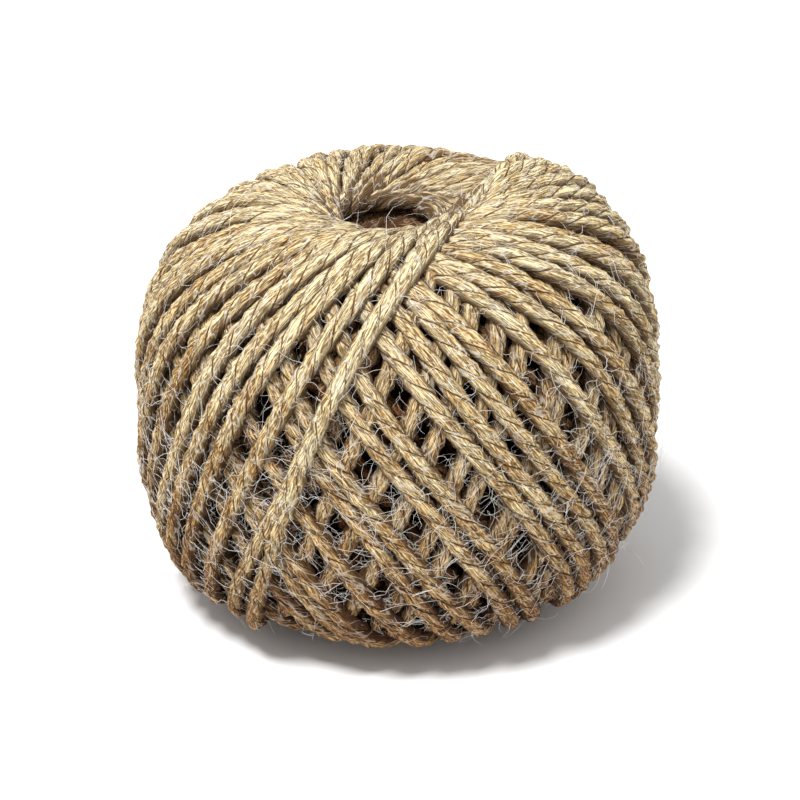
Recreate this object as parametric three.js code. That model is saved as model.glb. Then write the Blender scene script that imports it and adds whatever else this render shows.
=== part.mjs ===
// A ball of three-ply jute twine, cross wound round a spindle that was drawn out and left a hole through it.
// Millimetres, +Z up, standing on the small flat spot round the lower end of the hole.
import * as THREE from "three";

// Driving sizes
const ballRadius = 38.8; // half the width, over the turns
const ballHalfHeight = 32.5; // centre to crown, before the dimple round the hole
const squareness = 3.0; // 2 is an ellipse, more gives fuller shoulders
const crownShift = 2.2; // the crown sits this far towards +X of the middle, the foot as far towards -X
const holeRadius = 6.1;
const spindleLean = 6.5; // degrees, upper end towards -X
const dimpleDepth = 3.8; // the turns sink towards each end of the hole
const dimpleRadius = 9;
const flatPress = 1.15; // how far the lowest turns are pressed flat

// Winding
const turnsPerCycle = 43; // turns before the winding has gone once round the spindle
const newestTurn = 162; // degrees, direction of the newest turn's plane normal
const equatorSlant = 29.5; // degrees between a turn and the spindle's plane, at the widest part
const spindleTangent = 7.3; // centre of a turn to the spindle's axis, as it passes the hole
const tangentHeight = 31; // height above the centre where that distance is measured
const layerThickness = 1.8; // what one cycle adds on each slant
const turnRise = 2.1; // crest of a turn over the layer it lies in
const gapDepth = 3.4; // crest of a turn down to the bottom of the gap beside it
const reliefFadeInner = 8; // from here outwards the turns come apart,
const reliefFadeOuter = 19; // and from here they have their full relief
const pressedFrom = 137; // polar angles between which the turns are pressed level for the flat spot
const pressedTo = 150;

// Mesh
const turnProfile = [
  { offset: 0, share: 1 }, // offset is in spacings of the turns, share runs from the gap to the crest
  { offset: 0.3, share: 0.76 },
  { offset: 0.5, share: 0 },
  { offset: 0.7, share: 0.76 },
];
const swingRows = 18; // rows along half a turn,
const rowCrowding = 0.4; // closer together where the turn runs down the side of the ball
const lipRows = 2;

const twineColour = 0xb0966b;
const twineRoughness = 0.95;

const degree = Math.PI / 180;
const turnStep = 360 / turnsPerCycle;
const lineCount = turnsPerCycle * turnProfile.length;
const newestSide = turnStep / 4; // swing in which the newest turn falls to the turns that it crosses
const lipWidth = spindleTangent - holeRadius;
const leanCos = Math.cos(spindleLean * degree);
const leanSin = Math.sin(spindleLean * degree);

const clamp01 = (value) => Math.min(1, Math.max(0, value));
const smooth = (value) => clamp01(value) ** 2 * (3 - 2 * clamp01(value));

// Turns from the spindle's frame, whose z is its axis, to the ball's frame.
function leaned(x, y, z) {
  return new THREE.Vector3(leanCos * x - leanSin * z, y, leanSin * x + leanCos * z);
}

const spindleAxis = leaned(0, 0, 1);

// Distance from the centre to the smooth wound form, along a direction in the ball's frame.
function formDistance(direction) {
  const across = Math.hypot(direction.x, direction.y) / ballRadius;
  const up = Math.abs(direction.z) / ballHalfHeight;
  return (across ** squareness + up ** squareness) ** (-1 / squareness);
}

// Polar angle of a turn once it has swung this far round the spindle from its upper tangent point.
function turnPolar(swing) {
  const pole = spindleTangent / tangentHeight;
  const linear = Math.min(0.98, pole / Math.tan(equatorSlant * degree));
  const across = Math.cos(swing * degree);
  return Math.atan2(pole, linear * across + (1 - linear) * across ** 3) / degree;
}

// A place on the ball: layers is how much lies over it in cycles, share is 1 on a crest and 0 in a gap.
function ballPoint(azimuth, polar, layers, share) {
  const sine = Math.sin(polar * degree);
  const flatward = Math.cos(polar * degree);
  const direction = leaned(sine * Math.cos(azimuth * degree), sine * Math.sin(azimuth * degree), flatward);
  const distance = formDistance(direction);
  const axisDistance = distance * sine;
  const loose = smooth((axisDistance - reliefFadeInner) / (reliefFadeOuter - reliefFadeInner));
  const standing = loose * (1 - smooth((polar - pressedFrom) / (pressedTo - pressedFrom)));
  const layer = -layerThickness * layers * smooth((axisDistance - 10) / 20);
  const height = layer + standing * (turnRise - gapDepth * (1 - share));
  const point = direction.multiplyScalar(distance + height);
  point.x += crownShift * (point.z / ballHalfHeight) ** 3;
  const sink = dimpleDepth * Math.exp(-((axisDistance / dimpleRadius) ** 2)) * Math.sign(flatward);
  return point.addScaledVector(spindleAxis, -sink);
}

// Every turn rises on one slant, passes the hole and falls on the other. Its age is how far the winding has
// gone round the spindle since. A rising stretch is on top until the newest turn's falling stretch crosses
// it, and a falling stretch from where the newest turn's rising stretch crosses it.
const points = [];

const lineProfile = (line) => turnProfile[line % turnProfile.length];
const lineAge = (line) => (Math.floor(line / turnProfile.length) + lineProfile(line).offset) * turnStep;

function addPoint(point, swing) {
  points.push(point);
  return { index: points.length - 1, swing };
}

function linePoint(line, swing, side) {
  const age = lineAge(line);
  const layers = side < 0 ? (2 * age + 2 * swing) / 360 : (360 + 2 * age - 2 * swing) / 360;
  const azimuth = newestTurn + 180 - age + side * swing;
  return addPoint(ballPoint(azimuth, turnPolar(swing), layers, lineProfile(line).share), swing);
}

// The newest turn lies over all others, on both slants.
function newestLine(side, swings) {
  return swings.map((swing) => {
    return addPoint(ballPoint(newestTurn + 180 + side * swing, turnPolar(swing), 0.15, 1), swing);
  });
}

// Swings between two ends, with one close to the newest turn, so that it stands clear.
function rowSwings(from, to, nearNewest) {
  const rows = [];
  for (let row = 1; row < swingRows; row += 1) {
    const share = (2 * row) / swingRows - 1;
    rows.push(90 + 90 * ((1 - rowCrowding) * share + rowCrowding * share ** 3));
  }
  return [...rows.filter((swing) => Math.abs(swing - nearNewest) > newestSide), nearNewest]
    .filter((swing) => swing > from && swing < to)
    .sort((first, second) => first - second);
}

const crossings = Array.from({ length: lineCount - 1 }, (_, index) => lineAge(index + 1) / 2);
const newestRising = newestLine(-1, [0, ...crossings, 180]);
const newestFalling = newestLine(1, crossings.map((swing) => 180 - swing).reverse());
newestFalling.unshift(newestRising[0]);
newestFalling.push(newestRising[lineCount]);

// Lines of the rising stretches, from the hole's upper end to the newest turn's falling stretch.
const risingLines = [newestRising];
for (let line = 1; line < lineCount; line += 1) {
  const end = newestFalling[lineCount - line];
  const swings = [0, ...rowSwings(0, end.swing, end.swing - newestSide)];
  risingLines.push([...swings.map((swing) => linePoint(line, swing, -1)), end]);
}
risingLines.push([newestRising[0]]);

// Lines of the falling stretches, from the newest turn's rising stretch to the hole's lower end.
const fallingLines = [newestFalling];
for (let line = 1; line < lineCount; line += 1) {
  const start = newestRising[line];
  const swings = [...rowSwings(start.swing, 180, start.swing + newestSide), 180];
  fallingLines.push([start, ...swings.map((swing) => linePoint(line, swing, 1))]);
}
fallingLines.push([newestRising[lineCount]]);

// Triangles between two lines, each from its upper end down.
const triangles = [];

function fillStrip(left, right) {
  let leftRow = 0;
  let rightRow = 0;
  while (leftRow < left.length - 1 || rightRow < right.length - 1) {
    const leftNext = leftRow < left.length - 1 ? left[leftRow + 1].swing : Infinity;
    const rightNext = rightRow < right.length - 1 ? right[rightRow + 1].swing : Infinity;
    if (leftNext < rightNext) {
      triangles.push(left[leftRow].index, left[leftRow + 1].index, right[rightRow].index);
      leftRow += 1;
    } else {
      triangles.push(left[leftRow].index, right[rightRow + 1].index, right[rightRow].index);
      rightRow += 1;
    }
  }
}

for (let line = 0; line < lineCount; line += 1) {
  fillStrip(risingLines[line + 1], risingLines[line]);
  fillStrip(fallingLines[line + 1], fallingLines[line]);
}

// The hole: a rounded lip at each end and a straight wall, by rings that go down it.
function lipRing(rim, end, turned) {
  return rim.map((place) => {
    const point = points[place.index].clone();
    const centre = leaned(0, 0, point.dot(spindleAxis));
    centre.x += crownShift * (end * Math.abs(point.z / ballHalfHeight)) ** 3;
    const outward = point.clone().sub(centre).normalize();
    point.addScaledVector(outward, -lipWidth * Math.sin(turned));
    point.addScaledVector(spindleAxis, -end * lipWidth * (1 - Math.cos(turned)));
    return addPoint(point, 0);
  });
}

function holeRings() {
  const upperRim = risingLines.slice(0, lineCount).map((line) => line[0]);
  const lowerRim = fallingLines.slice(0, lineCount).map((line) => line.at(-1));
  const halfRound = Math.round(lineCount / 2);
  const turnedRim = upperRim.map((_, index) => lowerRim[(index + halfRound) % lineCount]);
  const quarter = (row) => ((row / lipRows) * Math.PI) / 2;
  const rings = [upperRim];
  for (let row = 1; row <= lipRows; row += 1) {
    rings.push(lipRing(upperRim, 1, quarter(row)));
  }
  for (let row = lipRows; row >= 1; row -= 1) {
    rings.push(lipRing(turnedRim, -1, quarter(row)));
  }
  rings.push(turnedRim);
  return rings;
}

const rings = holeRings();
for (let ring = 0; ring < rings.length - 1; ring += 1) {
  for (let line = 0; line < lineCount; line += 1) {
    const next = (line + 1) % lineCount;
    const corners = [rings[ring][line], rings[ring][next], rings[ring + 1][next], rings[ring + 1][line]];
    const [a, b, c, d] = corners.map((corner) => corner.index);
    triangles.push(a, c, b, a, d, c);
  }
}

// Press the lowest turns flat and stand the ball on them.
const flat = Math.min(...points.map((point) => point.z)) + flatPress;
const positions = new Float32Array(points.length * 3);
points.forEach((point, index) => positions.set([point.x, point.y, Math.max(point.z, flat) - flat], index * 3));

const geometry = new THREE.BufferGeometry();
geometry.setAttribute("position", new THREE.BufferAttribute(positions, 3));
geometry.setIndex(new THREE.BufferAttribute(new Uint32Array(triangles), 1));
geometry.computeVertexNormals();

const twine = new THREE.MeshStandardMaterial({
  name: "twine",
  color: twineColour,
  roughness: twineRoughness,
  metalness: 0,
  flatShading: true,
});
const twineBall = new THREE.Mesh(geometry, twine);
twineBall.name = "twine_ball";

const roll = new THREE.Group();
roll.name = "roll_of_twine";
roll.add(twineBall);
export default roll;
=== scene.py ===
import math
import bpy
import numpy as np
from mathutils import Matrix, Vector


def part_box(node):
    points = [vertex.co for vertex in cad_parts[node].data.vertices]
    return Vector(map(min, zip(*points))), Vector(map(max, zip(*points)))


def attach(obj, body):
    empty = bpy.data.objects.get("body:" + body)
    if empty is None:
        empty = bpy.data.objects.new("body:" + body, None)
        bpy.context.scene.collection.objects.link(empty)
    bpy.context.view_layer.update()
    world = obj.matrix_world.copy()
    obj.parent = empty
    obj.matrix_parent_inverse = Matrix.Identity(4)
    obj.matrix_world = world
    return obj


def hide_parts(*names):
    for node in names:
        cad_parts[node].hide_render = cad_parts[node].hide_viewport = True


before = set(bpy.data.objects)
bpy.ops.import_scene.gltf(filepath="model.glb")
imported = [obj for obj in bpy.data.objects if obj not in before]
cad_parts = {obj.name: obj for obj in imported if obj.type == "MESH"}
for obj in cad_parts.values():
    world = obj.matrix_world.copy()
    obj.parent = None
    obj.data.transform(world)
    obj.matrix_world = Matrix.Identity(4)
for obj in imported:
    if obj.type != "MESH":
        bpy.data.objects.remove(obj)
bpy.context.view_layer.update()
boxLow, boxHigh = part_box("twine_ball")
mm = 0.001

# the wound form, in millimetres from the middle of the ball
ball = {
    "radius": (boxHigh.x - boxLow.x) / 2 / mm - 0.75,  # under the crests of the newest turns
    "halfHeight": 32.5,
    "squareness": 3.1,  # 2 is an ellipse, more gives fuller shoulders
    "middle": 30.75,  # height over the floor
    "crownShift": 2.2,  # the crown stands this far to the right, the foot as far to the left
    "lean": math.radians(6.5),  # of the hole, upper end to the left
    "dimple": 3.8,  # depth at each end of the hole
    "dimpleRadius": 9,
    "shoulder": 1.5,  # the back right of the crown is this much fuller,
    "shoulderAt": (0.4, 0.66),  # round this azimuth in radians and this cosine of the polar angle,
    "shoulderSpread": (0.42, 0.18),  # and fades over these
}
# how the twine goes round the spindle, in degrees and millimetres
winding = {
    "turns": 129,
    "step": 360 / 42.5,  # from one turn to the next
    "newest": 162,  # direction of the newest turn's plane normal
    "slant": 29.5,  # between a turn and the spindle
    "tangent": 7.3,  # from a turn to the middle of the hole as it passes
    "tangentHeight": 31,
    "newestTangent": 11.8,  # the newest turns pass the hole wider,
    "tangentAge": 8.2,  # fading over this much winding,
    "newestSlant": 23.6,  # and are steeper
    "slantAge": 5,
    "newestDrift": -5.5,  # and lag behind
    "driftAge": 12,
    "cleanFor": (0.9, 0.6),  # the newest turn runs without drift, which fades in over this part of a turn
    "pinched": 0.98,  # most that a turn swings straight
    "samples": 540,  # along each turn
    "seed": 11,
}
# spread of the random drift along the cord, and how often in a turn it changes
uneven = {
    "upperTangent": (1.1, 1.0),
    "lowerTangent": (1.3, 1.0),
    "slant": (1.6, 0.5),
    "drift": (1.9, 0.25),
    "shake": (0.5, 0.06),
    "height": (0.22, 0.11),
    "girth": (0.05, 0.04),
    "seed": 3,
}
# how the turns lie over each other, in millimetres from the wound form. A pair says where a change starts
# and over how much it comes, by distance from the axis of the hole unless the note says otherwise
pile = {
    "top": 0.3,  # centre of a turn that nothing covers
    "layer": 1.9,  # how much each layer over it sinks it
    "coverFrom": (0.9, 0.1),  # the next layer comes over a turn here, in shares of a round of the winding,
    "openFor": 50,  # except in this many degrees from the hole
    "gradual": 0.5,  # share of the sinking that comes on gradually along a turn,
    "gradualFrom": (10, 20),
    "shingle": 1.0,  # what a whole round of the winding adds where turns overlap beside the hole
    "shingleTo": (10, 12),
    "sunk": 1.3,  # how much lower they all lie there
    "sunkTo": (8, 11),
    "lift": 0.8,  # how much the newest turns stand up, less by crownLift on the crown
    "liftAge": 9,
    "crownLift": 0.7,
    "crownFrom": (0.35, 0.35),  # cosines of the polar angle
    "tuck": 5,  # how far the newest end goes under its neighbours
    "tuckOver": 0.05,  # of a turn
    "pressFrom": 6.0,  # height over the floor below which the turns are pressed
    "clear": 0.3,
    "smoothing": {"layers": 41, "height": 9, "crowding": 31, "flankShade": 15},  # in samples
}
cord = {
    "radius": 1.58,
    "lay": 13.5,  # length in which a ply goes once round
    "plies": 3,
    "groove": 0.2,  # depth between plies, as a share of the radius
    "crowded": 0.65,
    "thinnest": 0.7,  # girth where turns crowd most
    "thickAge": 12,  # the newest turns aren't crowded yet,
    "taut": 0.1,  # but were pulled thinner by this share
    "tautAge": 10,
    "flankShade": 0.9,  # share of the radius past which the side of the cord gets painted shade
    "lowFlankShade": 0.12,  # and how much sooner that painted shade comes low on the ball,
    "lowFrom": (14, 24),  # from this far over the middle down
    "openFlank": (0.5, 0.45, 1.0),  # and where turns are close: share of their spacing, least and most
    "lumps": 0.6,  # unevenness of the surface
}


def leaned(x, y, z):
    c, s = math.cos(ball["lean"]), math.sin(ball["lean"])
    return c * x - s * z, y, s * x + c * z


def formPlace(azimuth, polar, height=0.0):
    # points at a height over the wound form, and the form's own distance from the middle
    sine = np.sin(polar)
    d = np.stack(leaned(sine * np.cos(azimuth), sine * np.sin(azimuth), np.cos(polar)), -1)
    p = ball["squareness"]
    across = np.hypot(d[..., 0], d[..., 1]) / ball["radius"]
    up = np.abs(d[..., 2]) / ball["halfHeight"]
    reach = (across**p + up**p) ** (-1 / p)
    points = d * (reach + height)[..., None]
    points[..., 0] += ball["crownShift"] * (points[..., 2] / ball["halfHeight"]) ** 3
    turned = np.angle(np.exp(1j * (azimuth - ball["shoulderAt"][0]))) / ball["shoulderSpread"][0]
    risen = (np.cos(polar) - ball["shoulderAt"][1]) / ball["shoulderSpread"][1]
    points += d * (ball["shoulder"] * np.exp(-(turned**2) - risen**2))[..., None]
    sink = ball["dimple"] * np.exp(-((reach * sine / ball["dimpleRadius"]) ** 2)) * np.sign(np.cos(polar))
    return points - np.array(leaned(0.0, 0.0, 1.0)) * sink[..., None], reach


def wander(rng, name, t):
    # smooth random drift along the cord
    spread, every = uneven[name]
    at = np.arange(0, t[-1] + 2 * every, every)
    return np.interp(t, at, rng.normal(0, spread, len(at)))


def smoothed(values, name):
    width = pile["smoothing"][name]
    window = np.hanning(width + 2)[1:-1]
    return np.convolve(np.pad(values, width // 2, mode="edge"), window / window.sum(), "valid")


def softStep(values):
    share = np.clip(values, 0, 1)
    return share * share * (3 - 2 * share)


def fadedIn(values, fade):
    start, over = fade
    return softStep((values - start) / over)


def cordPath():
    # azimuth and polar angle round the spindle, from the oldest turn to the newest
    rng = np.random.default_rng(winding["seed"])
    turns, per = winding["turns"], winding["samples"]
    t = np.arange(turns * per + 1) / per
    swing = ((t % 1) - 0.5) * 2 * math.pi
    age = np.maximum(winding["step"] * (turns - 0.5 - t), 0)
    upper = winding["tangent"] + np.abs(wander(rng, "upperTangent", t))
    upper += (winding["newestTangent"] - winding["tangent"]) * np.exp(-age / winding["tangentAge"])
    lower = winding["tangent"] + np.abs(wander(rng, "lowerTangent", t))
    share = (1 + np.cos(swing)) / 2
    pole = (upper * share + lower * (1 - share)) / winding["tangentHeight"]
    slant = winding["slant"] + wander(rng, "slant", t)
    newness = np.exp(-((age / winding["slantAge"]) ** 2))
    slant = np.radians(slant + (winding["newestSlant"] - slant) * newness)
    linear = np.minimum(winding["pinched"], pole / np.tan(slant))
    x = np.cos(swing)
    polar = np.arctan2(1.0, (linear * x + (1 - linear) * x**3) / pole)
    clean, over = winding["cleanFor"]
    drift = (wander(rng, "drift", t) + wander(rng, "shake", t)) * softStep((turns - clean - t) / over)
    drift += winding["newestDrift"] * np.exp(-age / winding["driftAge"])
    phi = winding["newest"] - winding["step"] * (turns - 0.5 - t) + drift
    return t, age, np.radians(phi + 180) + swing, swing, polar


def layersOver(turnAge, swing):
    # how many layers of the winding cross over each point of the cord
    twice = 2 * (1 + winding["step"] / 360) * np.degrees(np.abs(swing))
    cycle, age = np.divmod(turnAge, 360)
    falling = swing > 0
    place = np.where(falling, age + 360 - twice, age + twice) / 360
    opened = np.where(falling, twice, 360 - twice)
    under = fadedIn(place, pile["coverFrom"]) * softStep(opened / pile["openFor"])
    gradual = 2 * cycle + place + age / 360
    return smoothed(2 * cycle + under, "layers"), smoothed(gradual, "layers")


def pileHeights(rng, t, age, turnAge, swing, polar, fromAxis):
    # each layer of turns lies over the one before, and close to the hole each turn over its neighbour
    layers, gradual = layersOver(turnAge, swing)
    close = 1 - fadedIn(fromAxis, pile["shingleTo"])
    spread = pile["gradual"] * fadedIn(fromAxis, pile["gradualFrom"])
    heights = pile["top"] - pile["layer"] * ((1 - spread) * layers + spread * gradual)
    sunk = pile["sunk"] * (1 - fadedIn(fromAxis, pile["sunkTo"]))
    heights -= pile["shingle"] * close * turnAge / 360 + sunk
    crown = pile["crownLift"] * fadedIn(np.cos(polar), pile["crownFrom"])
    lift = pile["lift"] * np.exp(-age / pile["liftAge"]) * (1 - crown)
    heights += lift + wander(rng, "height", t)
    tuck = pile["tuck"] * softStep((t - t[-1] + pile["tuckOver"]) / pile["tuckOver"])
    return smoothed(heights, "height") - tuck, layers


def pressedFoot(points):
    # heights over the floor, with the lowest turns pressed level
    tall = points[:, 2] + ball["middle"]
    room = pile["pressFrom"] - cord["radius"] - pile["clear"]
    press = room / (pile["pressFrom"] - tall.min())
    pressed = pile["pressFrom"] - (pile["pressFrom"] - tall) * press
    points[:, 2] = np.where(tall < pile["pressFrom"], pressed, tall)
    return points


def layCord():
    # the centre line, and along it the layers over it, its girth and the half width that sets where painted
    # shade comes down its sides
    t, age, azimuth, swing, polar = cordPath()
    rng = np.random.default_rng(uneven["seed"])
    turnAge = winding["step"] * np.maximum(winding["turns"] - 1 - np.floor(t), 0)
    fromAxis = formPlace(azimuth, polar)[1] * np.sin(polar)
    heights, layers = pileHeights(rng, t, age, turnAge, swing, polar, fromAxis)
    points = pressedFoot(formPlace(azimuth, polar, heights)[0])
    # turns that crowd together press each other thin
    across, down = np.gradient(azimuth) * np.sin(polar), np.gradient(polar)
    apart = math.radians(winding["step"]) * fromAxis * np.abs(down) / (np.hypot(across, down) + 1e-9)
    thin = 1 - np.clip(cord["crowded"] * apart / cord["radius"], cord["thinnest"], 1)
    crowding = smoothed(thin, "crowding")
    girth = 1 - crowding * (1 - np.exp(-age / cord["thickAge"])) + wander(rng, "girth", t)
    girth -= cord["taut"] * np.exp(-age / cord["tautAge"])
    # the sides of the cord get painted shade, sooner low on the ball and where turns lie close
    over, fade = cord["lowFrom"]
    low = softStep((ball["middle"] + over - points[:, 2]) / fade)
    share, least, most = cord["openFlank"]
    flankShade = cord["flankShade"] * cord["radius"] * (1 - cord["lowFlankShade"] * low)
    return t, points, layers, girth, smoothed(np.clip(share * apart, least, most) * flankShade, "flankShade")


cordTurn, cordPoints, cordLayers, cordGirth, cordFlankShade = layCord()
cordSteps = np.linalg.norm(np.diff(cordPoints, axis=0), axis=1)
print("cord laid,", round(float(cordSteps.sum()) / 1000, 1), "m")


def put(tree, value, slot):
    # joins a socket to an input, or gives the input a value
    if isinstance(value, bpy.types.NodeSocket):
        tree.links.new(value, slot)
    else:
        slot.default_value = value


def node(tree, kind, **values):
    # adds a node: in_Name fills an input, anything else is a setting
    made = tree.nodes.new(kind)
    for key, value in values.items():
        if key.startswith("in_"):
            put(tree, value, made.inputs[key[3:].replace("_", " ")])
        else:
            setattr(made, key, value)
    return made


def sums(tree, operation, *values):
    # a maths node on numbers or sockets
    made = node(tree, "ShaderNodeMath", operation=operation)
    for slot, value in zip(made.inputs, values):
        put(tree, value, slot)
    return made.outputs[0]


def vectors(tree, operation, *values):
    # the same for vectors: SCALE takes its factor last, and a length or dot product is a number
    made = node(tree, "ShaderNodeVectorMath", operation=operation)
    slots = (made.inputs[0], made.inputs["Scale"]) if operation == "SCALE" else made.inputs
    for slot, value in zip(slots, values):
        put(tree, value, slot)
    return made.outputs["Value" if operation in ("LENGTH", "DOT_PRODUCT") else "Vector"]


def centred(tree, value, strength):
    # a noise moved round nought
    return sums(tree, "MULTIPLY", sums(tree, "SUBTRACT", value, 0.5), strength)


def easedStep(tree, value, start, end, low=0.0, high=1.0):
    made = node(
        tree, "ShaderNodeMapRange", interpolation_type="SMOOTHSTEP", in_Value=value,
        in_From_Min=start, in_From_Max=end, in_To_Min=low, in_To_Max=high,
    )
    return made.outputs["Result"]


def attribute(tree, name, kind="FLOAT"):
    return node(tree, "GeometryNodeInputNamedAttribute", data_type=kind, in_Name=name).outputs["Attribute"]


def position(tree):
    return node(tree, "GeometryNodeInputPosition").outputs[0]


def newTree(name, kind, inputs, outputs):
    tree = bpy.data.node_groups.new(name, kind)
    for way, items in (("INPUT", inputs), ("OUTPUT", outputs)):
        for title, socket, value in items:
            made = tree.interface.new_socket(title, in_out=way, socket_type="NodeSocket" + socket)
            if value is not None:
                made.default_value = value
    return tree, node(tree, "NodeGroupInput").outputs, node(tree, "NodeGroupOutput").inputs


def swept(tree, curve, section):
    # the section along the curve, sized by the curve's radius, with closed ends
    made = node(
        tree, "GeometryNodeCurveToMesh", in_Fill_Caps=True, in_Curve=curve, in_Profile_Curve=section,
    )
    if "Scale" in made.inputs:
        put(tree, node(tree, "GeometryNodeInputRadius").outputs[0], made.inputs["Scale"])
    return made.outputs[0]


def remembered(tree, geometry, kind, name, value):
    # keeps a value on the points of a curve
    made = node(tree, "GeometryNodeCaptureAttribute", in_Geometry=geometry)
    made.capture_items.new(kind, name)
    put(tree, value, made.inputs[name])
    return made.outputs["Geometry"], made.outputs[name]


def finishTree(tree, made, material, out):
    real = node(tree, "GeometryNodeRealizeInstances", in_Geometry=made)
    paint = node(tree, "GeometryNodeSetMaterial", in_Geometry=real.outputs[0], in_Material=material)
    put(tree, paint.outputs[0], out["Geometry"])


def pliedSection(tree, given):
    # one round lobe for each ply
    circle = node(
        tree, "GeometryNodeCurvePrimitiveCircle", in_Radius=1.0, in_Resolution=given["Section Points"],
    )
    at = node(tree, "ShaderNodeSeparateXYZ", in_Vector=position(tree)).outputs
    around = sums(tree, "ARCTAN2", at[1], at[0])
    lobe = sums(tree, "ABSOLUTE", sums(tree, "COSINE", sums(tree, "MULTIPLY", around, cord["plies"] / 2)))
    dip = sums(tree, "MULTIPLY", sums(tree, "SUBTRACT", 1.0, lobe), given["Groove"])
    size = sums(tree, "MULTIPLY", sums(tree, "SUBTRACT", 1.0, dip), given["Cord Radius"])
    moved = node(
        tree, "GeometryNodeSetPosition", in_Geometry=circle.outputs["Curve"],
        in_Position=vectors(tree, "SCALE", position(tree), size),
    )
    return moved.outputs[0]


def downTheSide(tree, middle):
    # how far a place lies from the cord's crest line, as a share of its flank, and 1 all underneath, which
    # sets the painted shade down the cord's sides
    centre = attribute(tree, "centre", "FLOAT_VECTOR")
    offset = vectors(tree, "SUBTRACT", position(tree), centre)
    ballMiddle = node(tree, "ShaderNodeCombineXYZ", in_Z=middle).outputs[0]
    outward = vectors(tree, "NORMALIZE", vectors(tree, "SUBTRACT", centre, ballMiddle))
    rise = vectors(tree, "DOT_PRODUCT", offset, outward)
    aside = vectors(tree, "SUBTRACT", offset, vectors(tree, "SCALE", outward, rise))
    beside = sums(tree, "DIVIDE", vectors(tree, "LENGTH", aside), attribute(tree, "flankShade"))
    return sums(tree, "MAXIMUM", beside, sums(tree, "GREATER_THAN", 0.0, rise))


lump = {"scale": 700.0, "detail": 2.0}  # the uneven surface of the cord


def cordTree():
    # turns a run of edges into plied cord: a lobed section swept along it, turned by the lay
    tree, given, out = newTree("Three ply cord", "GeometryNodeTree", [
        ("Geometry", "Geometry", None), ("Cord Radius", "Float", 0.00125), ("Lay", "Float", 0.0135),
        ("Groove", "Float", 0.2), ("Section Points", "Int", 18), ("Ball Middle", "Float", 0.03),
        ("Lump Size", "Float", 0.0006), ("Twine", "Material", None),
    ], [("Geometry", "Geometry", None)])
    line = node(tree, "GeometryNodeMeshToCurve", in_Mesh=given["Geometry"]).outputs[0]
    # the place in the section and along the cord are kept for the shading
    section, inSection = remembered(tree, pliedSection(tree, given), "VECTOR", "Round", position(tree))
    along = attribute(tree, "along")
    line, alongCord = remembered(tree, line, "FLOAT", "Along", along)
    turn = sums(tree, "MULTIPLY", sums(tree, "DIVIDE", along, given["Lay"]), -2 * math.pi)
    twisted = node(tree, "GeometryNodeSetCurveTilt", in_Curve=line, in_Tilt=turn).outputs[0]
    sized = node(tree, "GeometryNodeSetCurveRadius", in_Curve=twisted, in_Radius=attribute(tree, "girth"))
    rope = swept(tree, sized.outputs[0], section)
    at = node(tree, "ShaderNodeSeparateXYZ", in_Vector=inSection).outputs
    place = node(tree, "ShaderNodeCombineXYZ", in_X=at[0], in_Y=at[1], in_Z=alongCord)
    placed = node(
        tree, "GeometryNodeStoreNamedAttribute", data_type="FLOAT_VECTOR", in_Name="cordPlace",
        in_Geometry=rope, in_Value=place.outputs[0],
    )
    lumps = node(
        tree, "ShaderNodeTexNoise", in_Vector=position(tree), in_Scale=lump["scale"],
        in_Detail=lump["detail"],
    )
    lumpy = vectors(tree, "SUBTRACT", lumps.outputs["Color"], (0.5, 0.5, 0.5))
    lumped = node(
        tree, "GeometryNodeSetPosition", in_Geometry=placed.outputs[0],
        in_Offset=vectors(tree, "SCALE", lumpy, given["Lump Size"]),
    )
    flanked = node(
        tree, "GeometryNodeStoreNamedAttribute", data_type="FLOAT", in_Name="edge",
        in_Geometry=lumped.outputs[0], in_Value=downTheSide(tree, given["Ball Middle"]),
    )
    smooth = node(tree, "GeometryNodeSetShadeSmooth", in_Geometry=flanked.outputs[0])
    finishTree(tree, smooth.outputs[0], given["Twine"], out)
    return tree


# how a hair curls and thins towards its end
curls = {
    "bends": 1.9,  # along a hair
    "apart": 371.0,  # keeps the curls of different hairs from matching
    "swing": 6.0,
    "flattened": 0.75,  # share of the swing away from the ball that is taken out
    "floor": 0.0002,  # metres
    "taper": 0.6,
}


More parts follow.
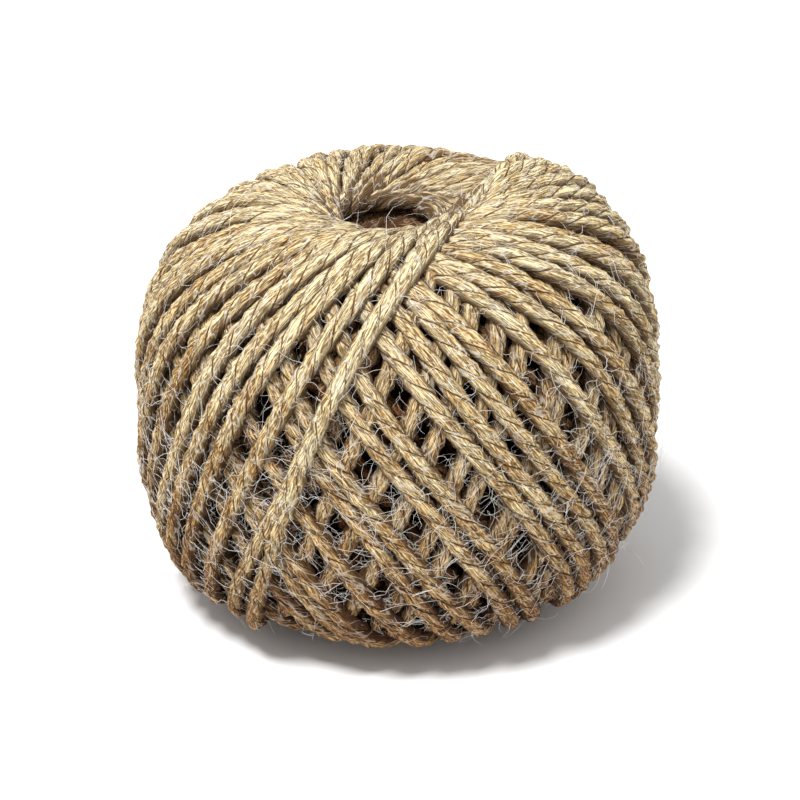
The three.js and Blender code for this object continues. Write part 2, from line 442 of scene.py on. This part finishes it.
def hairTree():
    # a curly hair on every point, closed and tapered
    tree, given, out = newTree("Stray hairs", "GeometryNodeTree", [
        ("Geometry", "Geometry", None), ("Hair Radius", "Float", 0.00006), ("Curl", "Float", 0.5),
        ("Seed", "Float", 0.0), ("Hair Points", "Int", 10), ("Hair", "Material", None),
    ], [("Geometry", "Geometry", None)])
    line = node(tree, "GeometryNodeCurvePrimitiveLine", in_End=(0, 0, 1)).outputs[0]
    cuts = node(tree, "GeometryNodeResampleCurve", in_Curve=line, in_Count=given["Hair Points"])
    way = attribute(tree, "way", "FLOAT_VECTOR")
    turn = node(tree, "FunctionNodeAlignRotationToVector", axis="Z", in_Vector=way)
    length = attribute(tree, "length")
    plant = node(
        tree, "GeometryNodeInstanceOnPoints", in_Points=given["Geometry"], in_Instance=cuts.outputs[0],
        in_Rotation=turn.outputs[0], in_Scale=length,
    )
    grown = node(tree, "GeometryNodeRealizeInstances", in_Geometry=plant.outputs[0])
    # the curl grows towards the free end, and each hair has its own
    share = node(tree, "GeometryNodeSplineParameter").outputs["Factor"]
    seek = node(
        tree, "ShaderNodeCombineXYZ", in_X=sums(tree, "MULTIPLY", share, curls["bends"]),
        in_Y=sums(tree, "MULTIPLY", attribute(tree, "own"), curls["apart"]), in_Z=given["Seed"],
    )
    noise = node(tree, "ShaderNodeTexNoise", in_Scale=1.0, in_Detail=0.0, in_Vector=seek.outputs[0])
    swing = vectors(tree, "SUBTRACT", noise.outputs["Color"], (0.5, 0.5, 0.5))
    reach = sums(tree, "MULTIPLY", sums(tree, "MULTIPLY", share, length), given["Curl"])
    bend = vectors(tree, "SCALE", swing, sums(tree, "MULTIPLY", reach, curls["swing"]))
    # mostly along the ball, little of it away from it
    up = attribute(tree, "up", "FLOAT_VECTOR")
    away = sums(tree, "MULTIPLY", vectors(tree, "DOT_PRODUCT", bend, up), curls["flattened"])
    offset = vectors(tree, "SUBTRACT", bend, vectors(tree, "SCALE", up, away))
    curl = node(tree, "GeometryNodeSetPosition", in_Geometry=grown.outputs[0], in_Offset=offset)
    # none goes under the floor
    held = vectors(tree, "MAXIMUM", position(tree), (-1.0, -1.0, curls["floor"]))
    above = node(tree, "GeometryNodeSetPosition", in_Geometry=curl.outputs[0], in_Position=held)
    thin = sums(tree, "SUBTRACT", 1.0, sums(tree, "MULTIPLY", share, curls["taper"]))
    taper = node(tree, "GeometryNodeSetCurveRadius", in_Curve=above.outputs[0], in_Radius=thin)
    section = node(
        tree, "GeometryNodeCurvePrimitiveCircle", in_Resolution=3, in_Radius=given["Hair Radius"],
    )
    finishTree(tree, swept(tree, taper.outputs[0], section.outputs[0]), given["Hair"], out)
    return tree


def looseObject(name, points, edges, attributes):
    # loose points or edges in metres that carry the named attributes
    mesh = bpy.data.meshes.new(name)
    mesh.from_pydata(points.tolist(), edges, [])
    for key, values in attributes.items():
        kind = "FLOAT_VECTOR" if values.ndim == 2 else "FLOAT"
        field = "vector" if values.ndim == 2 else "value"
        mesh.attributes.new(key, kind, "POINT").data.foreach_set(field, values.astype(np.float32).ravel())
    made = bpy.data.objects.new(name, mesh)
    bpy.context.collection.objects.link(made)
    return made


def applied(source, tree, inputs):
    # evaluates the node tree on the object and keeps the result as a plain mesh
    modifier = source.modifiers.new("Make", "NODES")
    modifier.node_group = tree
    for item in tree.interface.items_tree:
        if item.in_out == "INPUT" and item.name in inputs:
            modifier[item.identifier] = inputs[item.name]
    graph = bpy.context.evaluated_depsgraph_get()
    mesh = bpy.data.meshes.new_from_object(source.evaluated_get(graph), depsgraph=graph)
    source.modifiers.remove(modifier)
    old = source.data
    source.data = mesh
    mesh.name = source.name
    bpy.data.meshes.remove(old)
    mesh.calc_loop_triangles()
    print(source.name, len(mesh.loop_triangles), "triangles")
    return source


def dressed(piece):
    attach(piece, "root")
    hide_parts("twine_ball")
    return piece


# spun fibre: each noise has its scales across and along the cord per metre, and its strength in the tone
fibre = {
    "straightened": 0.86,  # share of the plies' turn that is taken back, so that fibres run nearly straight
    "strands": ((4200, 4200, 170), 1.4),
    "specks": ((5200, 5200, 1500), 1.2),
    "stains": ((420, 420, 75), 0.9),
    "tone": (0.57, 0.2),  # the middle, and the strength of the cord's tone along it with its painted light
    "ramp": (
        (0.05, (0.2, 0.085, 0.025)), (0.33, (0.48, 0.27, 0.09)),
        (0.6, (0.72, 0.53, 0.25)), (0.95, (0.94, 0.81, 0.5)),
    ),
    "threads": (2900, 2900, 130),  # thin dark lines where fibres part
    "threadEdge": (0.01, 0.125),
    "threadDark": 0.8,
    "grooveEdge": (0.28, 0.1),  # painted shade between plies: where the dark starts, and where it is full
    "grooveWave": 0.8,
    "grooveShadeStrength": 0.95,
    "flankEdge": (0.6, 1.0),  # painted shade down the side of the cord
    "flankShadeStrength": 0.9,
    # colour of the thread lines and of the painted shade in the grooves and down the sides
    "lineAndShadeColour": (0.1, 0.05, 0.028),
    "stray": (640, 640, 300),  # fine pale hairs that lie on the cord
    "strayEdge": (0.0, 0.035),
    "strayPale": 0.5,
    "strayColour": (0.82, 0.78, 0.68),
    "paintedShadeColour": (0.4, 0.225, 0.125),  # painted shade under other turns and towards the foot
    "bump": 0.9,
}


def fibreNoise(tree, place, scales, **settings):
    scaled = vectors(tree, "MULTIPLY", place, scales)
    return node(tree, "ShaderNodeTexNoise", in_Scale=1.0, in_Vector=scaled, **settings).outputs["Fac"]


def fibreLines(tree, noise, edge, strength):
    # lines where a noise passes its middle value
    apart = sums(tree, "ABSOLUTE", sums(tree, "SUBTRACT", noise, 0.5))
    return easedStep(tree, apart, *edge, strength, 0.0)


def mixed(tree, factor, base, colour, blend="MIX"):
    made = node(
        tree, "ShaderNodeMix", data_type="RGBA", blend_type=blend,
        in_Factor=factor, in_A=base, in_B=(*colour, 1),
    )
    return made.outputs["Result"]


def fibreGroup():
    # colour and height of spun jute, from the place in the cord, with painted shade in the grooves and down
    # the sides, and the painted light and shade it is given
    tree, given, out = newTree("Jute fibre", "ShaderNodeTree", [
        ("Place", "Vector", None), ("Tone And Light", "Float", 0.0), ("Painted Shade", "Float", 0.0), ("Edge", "Float", 0.0),
    ], [("Colour", "Color", None), ("Height", "Float", None)])
    place = given["Place"]
    at = node(tree, "ShaderNodeSeparateXYZ", in_Vector=place).outputs
    turn = sums(tree, "MULTIPLY", at[2], -2 * math.pi / (cord["lay"] * mm) * fibre["straightened"])
    straight = node(
        tree, "ShaderNodeVectorRotate", rotation_type="Z_AXIS", in_Vector=place, in_Angle=turn,
    ).outputs[0]
    strands = fibreNoise(tree, straight, fibre["strands"][0], in_Detail=1.0, in_Roughness=0.6)
    specks = fibreNoise(tree, straight, fibre["specks"][0], in_Detail=1.0)
    stains = fibreNoise(tree, place, fibre["stains"][0], in_Detail=2.0)
    middle, toneAndLightStrength = fibre["tone"]
    strandTone = centred(tree, strands, fibre["strands"][1])
    tone = sums(tree, "ADD", strandTone, centred(tree, stains, fibre["stains"][1]))
    # the tone given along the cord brings its painted light
    tone = sums(tree, "ADD", tone, sums(tree, "MULTIPLY", given["Tone And Light"], toneAndLightStrength))
    tone = sums(tree, "ADD", tone, centred(tree, specks, fibre["specks"][1]))
    ramp = node(tree, "ShaderNodeValToRGB", in_Fac=sums(tree, "ADD", tone, middle))
    stops = ramp.color_ramp.elements
    while len(stops) < len(fibre["ramp"]):
        stops.new(1.0)
    for stop, (level, colour) in zip(stops, fibre["ramp"]):
        stop.position = level
        stop.color = (*colour, 1)
    # dark: parted fibres, and painted shade in the grooves between the plies and down the sides of the cord
    threads = fibreNoise(tree, straight, fibre["threads"], in_Detail=1.0)
    parted = fibreLines(tree, threads, fibre["threadEdge"], fibre["threadDark"])
    around = sums(tree, "ARCTAN2", at[1], at[0])
    around = sums(tree, "ADD", around, centred(tree, stains, fibre["grooveWave"]))
    lobe = sums(tree, "ABSOLUTE", sums(tree, "COSINE", sums(tree, "MULTIPLY", around, cord["plies"] / 2)))
    groove = sums(tree, "MULTIPLY", easedStep(tree, lobe, *fibre["grooveEdge"]), fibre["grooveShadeStrength"])
    flankShade = sums(tree, "MULTIPLY", easedStep(tree, given["Edge"], *fibre["flankEdge"]), fibre["flankShadeStrength"])
    linesAndShade = sums(tree, "MAXIMUM", sums(tree, "MAXIMUM", parted, groove), flankShade)
    linedAndShaded = mixed(tree, linesAndShade, ramp.outputs["Color"], fibre["lineAndShadeColour"], "MULTIPLY")
    hairs = fibreNoise(tree, place, fibre["stray"], in_Detail=1.0, in_Roughness=0.3)
    stray = fibreLines(tree, hairs, fibre["strayEdge"], fibre["strayPale"])
    haired = mixed(tree, stray, linedAndShaded, fibre["strayColour"])
    # painted shade under other turns and towards the foot
    put(tree, mixed(tree, given["Painted Shade"], haired, fibre["paintedShadeColour"], "MULTIPLY"), out["Colour"])
    put(tree, strands, out["Height"])
    return tree


def newMaterial(name, roughness, specular):
    material = bpy.data.materials.new(name)
    material.use_nodes = True
    shader = material.node_tree.nodes["Principled BSDF"]
    shader.inputs["Roughness"].default_value = roughness
    shader.inputs["Specular IOR Level"].default_value = specular
    return material, shader


def plainMaterial(name, colour, roughness):
    material, shader = newMaterial(name, roughness, 0.2)
    shader.inputs["Base Color"].default_value = (*colour, 1)
    return material


def twineMaterial(name, group, roughness, bumpHeight):
    material, shader = newMaterial(name, roughness, 0.25)
    tree = material.node_tree
    made = node(tree, "ShaderNodeGroup", node_tree=group)
    for title, source in (("Place", "cordPlace"), ("Tone And Light", "tone"), ("Painted Shade", "paintedShade"), ("Edge", "edge")):
        given = node(tree, "ShaderNodeAttribute", attribute_name=source).outputs
        put(tree, given["Vector" if title == "Place" else "Fac"], made.inputs[title])
    height = made.outputs["Height"]
    bump = node(
        tree, "ShaderNodeBump", in_Strength=fibre["bump"], in_Distance=bumpHeight, in_Height=height,
    )
    put(tree, made.outputs["Colour"], shader.inputs["Base Color"])
    put(tree, bump.outputs["Normal"], shader.inputs["Normal"])
    return material


juteFibre = fibreGroup()
jute = twineMaterial("Jute twine", juteFibre, 0.82, 0.00045)
juteUnder = twineMaterial("Jute twine under", juteFibre, 0.95, 0.0003)
# near-black painted shade for the inside of the ball
shadeInsideDark = plainMaterial("Painted shade inside", (0.04, 0.018, 0.01), 1.0)
paleHair = plainMaterial("Jute hairs", (0.9, 0.87, 0.81), 0.5)

# tone of the cord: it changes along it at random, and painted light makes it paler high on the ball and
# palest on the newest, outermost turns
tonesAndLight = {
    "every": 0.05,  # metres of cord
    "spread": 0.45,
    "level": 4,  # height over the middle of the ball where the tone is level, and one more per fade above
    "fade": 24,
    "newest": 0.7,
    "newestTurns": 5,
    "newestOver": 4,
    "range": (-2.2, 1.4),
    "seed": 5,
}
# painted shade: darker under other turns, and towards the foot from a height over the middle down
paintedShading = {"layers": (0.2, 2.6), "foot": 0.58, "footFrom": 4, "footOver": 32}
cordAlong = np.concatenate([[0], np.cumsum(cordSteps)]) * mm


def cordTonesAndLight():
    rng = np.random.default_rng(tonesAndLight["seed"])
    at = np.arange(0, cordAlong[-1] + 0.1, tonesAndLight["every"])
    tone = np.interp(cordAlong, at, rng.normal(0, tonesAndLight["spread"], len(at)))
    # painted light: paler higher on the ball and on the newest turns
    paintedLightHigh = (cordPoints[:, 2] - ball["middle"] - tonesAndLight["level"]) / tonesAndLight["fade"]
    paintedLightNew = softStep((cordTurn - cordTurn[-1] + tonesAndLight["newestTurns"]) / tonesAndLight["newestOver"])
    return np.clip(tone + (paintedLightHigh + tonesAndLight["newest"] * paintedLightNew), *tonesAndLight["range"])


def cordPaintedShades():
    # painted shade under other turns and towards the foot
    below = (ball["middle"] + paintedShading["footFrom"] - cordPoints[:, 2]) / paintedShading["footOver"]
    paintedShade = fadedIn(cordLayers, paintedShading["layers"])
    return np.maximum(paintedShade, paintedShading["foot"] * softStep(below))


cordToneAndLight, cordPaintedShade = cordTonesAndLight(), cordPaintedShades()
cordMaker = cordTree()
# stretches of the winding: fewer points the deeper they lie
stretches = {
    "twine_newest": {"first": 107, "last": 129, "every": 3, "round": 18, "finish": jute},
    "twine_outer": {"first": 86, "last": 107, "every": 3, "round": 18, "finish": jute},
    "twine_under": {"first": 43, "last": 86, "every": 5, "round": 12, "finish": juteUnder},
    "twine_oldest": {"first": 0, "last": 43, "every": 9, "round": 8, "finish": juteUnder},
}


def cordPiece(name, stretch):
    per = winding["samples"]
    pick = np.arange(stretch["first"] * per, stretch["last"] * per + 1, stretch["every"])
    edges = [(i, i + 1) for i in range(len(pick) - 1)]
    made = looseObject(name, cordPoints[pick] * mm, edges, {
        "along": cordAlong[pick], "tone": cordToneAndLight[pick], "paintedShade": cordPaintedShade[pick], "girth": cordGirth[pick],
        "flankShade": cordFlankShade[pick] * mm, "centre": cordPoints[pick] * mm,
    })
    return dressed(applied(made, cordMaker, {
        "Cord Radius": cord["radius"] * mm, "Lay": cord["lay"] * mm, "Groove": cord["groove"],
        "Section Points": stretch["round"], "Ball Middle": ball["middle"] * mm,
        "Lump Size": cord["lumps"] * mm, "Twine": stretch["finish"],
    }))


for name, stretch in stretches.items():
    cordPiece(name, stretch)

# long hairs, most of them low on the sides where the ball was handled least
hairs = {
    "pieces": 4,
    "each": 1500,
    "points": 10,
    "radius": 0.037,
    "shortest": 2.0,
    "longest": 10.0,
    "curl": 0.32,
    "elsewhere": 0.14,  # how many grow elsewhere, as a share of those low on the sides
    "floorGap": 6.0,
    "deepest": 2.0,  # on turns with fewer layers over them than this
    "seed": 40,
}
# short fuzz on every turn that shows
fuzz = {
    "pieces": 2,
    "each": 2600,
    "points": 6,
    "radius": 0.028,
    "shortest": 1.0,
    "longest": 4.5,
    "curl": 0.5,
    "elsewhere": 0.6,
    "floorGap": 4.0,
    "deepest": 2.3,
    "seed": 60,
}
# where both kinds grow, and how they leave the cord
roots = {
    "lowFrom": (22, 26),  # more from this far over the middle of the ball down,
    "footFrom": (6, 16),  # fewer again near the floor,
    "holeFrom": (6, 28),  # and fewer towards the hole
    "firstTurn": 60,
    "outward": (-0.1, 0.9),  # which side of the cord, least and most away from the ball,
    "aside": 0.55,  # with this much at random
    "depth": 0.75,  # share of the cord's radius
    "rise": (0.0, 0.12),  # away from the ball
    "lengths": (1.2, 2.6),  # most are short
}
hairMaker = hairTree()


def unitRows(rows):
    return rows / np.linalg.norm(rows, axis=1)[:, None]


def hairRoots(rng, kind):
    # places along the cord, and the direction away from the middle of the ball at each
    height = cordPoints[:, 2]
    over, fade = roots["lowFrom"]
    low = softStep((ball["middle"] + over - height) / fade) * fadedIn(height, roots["footFrom"])
    fromAxis = np.hypot(cordPoints[:, 0], cordPoints[:, 1])
    chance = (kind["elsewhere"] + (1 - kind["elsewhere"]) * low) * fadedIn(fromAxis, roots["holeFrom"])
    chance *= (cordLayers < kind["deepest"]) * (cordTurn > roots["firstTurn"]) * (height > kind["floorGap"])
    at = rng.choice(len(cordPoints), kind["each"], p=chance / chance.sum())
    return cordPoints[at], unitRows(cordPoints - np.array([0, 0, ball["middle"]]))[at]


def hairPiece(title, kind, number):
    rng = np.random.default_rng(kind["seed"] + number)
    count = kind["each"]
    centres, outward = hairRoots(rng, kind)
    aside = rng.normal(size=(count, 3)) * roots["aside"]
    side = unitRows(outward * rng.uniform(*roots["outward"], (count, 1)) + aside)
    starts = (centres + side * cord["radius"] * roots["depth"]) * mm
    # they set off along the ball
    way = rng.normal(size=(count, 3))
    way += outward * (rng.uniform(*roots["rise"], (count, 1)) - (way * outward).sum(1)[:, None])
    length = kind["shortest"] + rng.beta(*roots["lengths"], count) * (kind["longest"] - kind["shortest"])
    made = looseObject(title + "_" + str(number), starts, [], {
        "way": unitRows(way), "up": outward, "length": length * mm, "own": rng.random(count),
    })
    return dressed(applied(made, hairMaker, {
        "Hair Radius": kind["radius"] * mm, "Curl": kind["curl"], "Seed": float(number),
        "Hair Points": kind["points"], "Hair": paleHair,
    }))


for title, kind in (("hairs", hairs), ("fuzz", fuzz)):
    for number in range(kind["pieces"]):
        hairPiece(title, kind, number)

# painted shade: a near-black inside that closes the gaps between the turns, standing for the shade deep
# between them
inside = {
    "columns": 72,
    "rows": 60,
    "first": 0.24,  # polar angle of the rim at each end of the hole
    "wall": 7.2,  # radius of the hole through it
    "wallRows": (0.02, 0.35, 0.65, 0.98),
    "drop": 9.5,  # under the wound form
    "foot": 1.5,
}


def shadeInside():
    columns, first = inside["columns"], inside["first"]
    azimuth = np.arange(columns) / columns * 2 * math.pi
    polar = np.linspace(first, math.pi - first, inside["rows"])
    a, p = np.meshgrid(azimuth, polar, indexing="ij")
    outside = formPlace(a, p, np.full(a.shape, -inside["drop"]))[0]
    axis = np.array(leaned(0.0, 0.0, 1.0))
    low, high = (outside[:, -1] @ axis)[:, None], (outside[:, 0] @ axis)[:, None]
    across = (np.cos(azimuth) * inside["wall"], np.sin(azimuth) * inside["wall"], azimuth * 0)
    ring = np.stack(leaned(*across), -1)
    wall = np.stack([ring + axis * (low * (1 - s) + high * s) for s in inside["wallRows"]], 1)
    points = np.concatenate([outside, wall], 1)
    points[..., 2] = np.maximum(points[..., 2] + ball["middle"], inside["foot"])
    count = points.shape[1]
    faces = []
    for i in range(columns):
        j = (i + 1) % columns
        for k in range(count):
            n = (k + 1) % count
            faces.append((i * count + k, i * count + n, j * count + n, j * count + k))
    mesh = bpy.data.meshes.new("painted_shade_inside")
    mesh.from_pydata((points.reshape(-1, 3) * mm).tolist(), [], faces)
    mesh.materials.append(shadeInsideDark)
    made = bpy.data.objects.new("painted_shade_inside", mesh)
    bpy.context.collection.objects.link(made)
    return dressed(made)


shadeInside()
print("ball built")

# plain level light: a white surround, and a broad sun from the upper left
stage = {"floorHalf": 3, "floorColour": (0.9, 0.9, 0.9)}
light = {"world": 0.7, "sun": 3.3, "from": (-0.4, -0.55, 1.5), "angle": 0.25}
view = {
    "tilt": math.radians(26.5),
    "distance": 0.62,
    "lens": 184.8,
    "sensor": 36,
    "farthest": 10,
    "aim": (0.0003, 0, (ball["middle"] - 1.0) * mm),
}
scene = bpy.context.scene
scene.view_settings.view_transform = "Standard"


def addFloor():
    half = stage["floorHalf"]
    mesh = bpy.data.meshes.new("floor")
    corners = [(-half, -half, 0), (half, -half, 0), (half, half, 0), (-half, half, 0)]
    mesh.from_pydata(corners, [], [(0, 1, 2, 3)])
    mesh.materials.append(plainMaterial("Floor", stage["floorColour"], 0.9))
    floor = bpy.data.objects.new("floor", mesh)
    bpy.context.collection.objects.link(floor)


def addLight():
    world = bpy.data.worlds.new("Studio")
    world.use_nodes = True
    scene.world = world
    tree = world.node_tree
    back = tree.nodes["Background"]
    back.inputs["Color"].default_value = (1, 1, 1, 1)
    seen = node(tree, "ShaderNodeLightPath").outputs["Is Camera Ray"]
    strength = node(tree, "ShaderNodeMapRange", in_Value=seen, in_To_Min=light["world"], in_To_Max=1.0)
    put(tree, strength.outputs[0], back.inputs["Strength"])
    sun = bpy.data.objects.new("Sun", bpy.data.lights.new("Sun", "SUN"))
    sun.data.energy = light["sun"]
    sun.data.angle = light["angle"]
    sun.rotation_euler = (-Vector(light["from"])).to_track_quat("-Z", "Y").to_euler()
    bpy.context.collection.objects.link(sun)


def addCamera():
    camera = bpy.data.objects.new("Camera", bpy.data.cameras.new("Camera"))
    bpy.context.collection.objects.link(camera)
    camera.data.lens = view["lens"]
    camera.data.sensor_width = view["sensor"]
    camera.data.clip_end = view["farthest"]
    aim = Vector(view["aim"])
    camera.location = aim + Vector((0, -math.cos(view["tilt"]), math.sin(view["tilt"]))) * view["distance"]
    camera.rotation_euler = (aim - camera.location).to_track_quat("-Z", "Y").to_euler()
    scene.camera = camera


addFloor()
addLight()
addCamera()
print("stage set")
